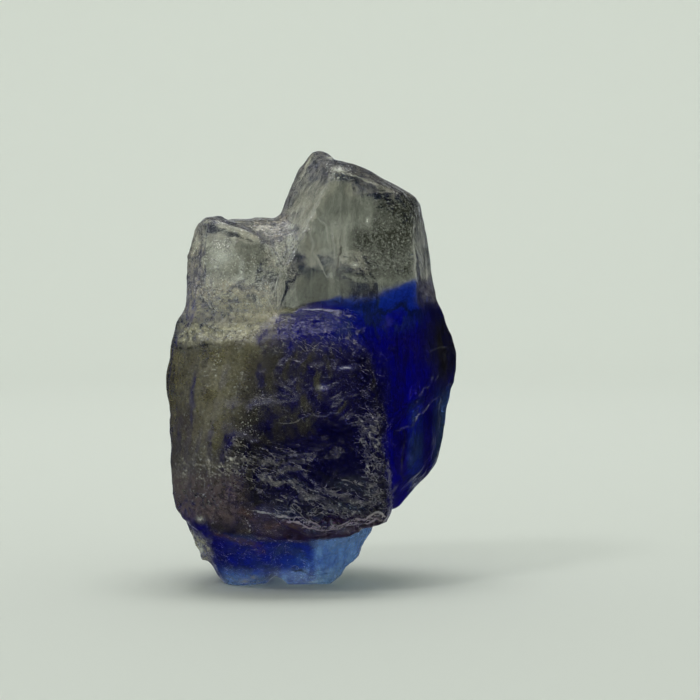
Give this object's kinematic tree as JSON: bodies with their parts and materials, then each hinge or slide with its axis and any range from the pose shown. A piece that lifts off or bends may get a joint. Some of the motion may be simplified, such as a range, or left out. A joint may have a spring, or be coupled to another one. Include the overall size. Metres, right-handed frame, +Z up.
{
  "type": "rough tanzanite crystal",
  "caption": "Rough blue gem crystal, clear grey at the top and deep blue below, with flat faces, a broken front lobe, ledges and pits, standing on a small flat spot.",
  "frame": {"origin": "centre of the bounding box in plan, at the level of the flat resting spot", "axes": "+Z is up along the crystal, from the resting spot to the clear tip; -Y is the front with the broken lobe; +X is to the right when facing the front"},
  "size_m": [0.0142, 0.0116, 0.021],
  "materials": {
    "tanzanite_crystal": "natural crystal faces, glossy on the flat ones and finely broken on the fractures"
  },
  "bodies": {
    "root": {"tanzanite": "tanzanite_crystal"}
  },
  "joints": []
}
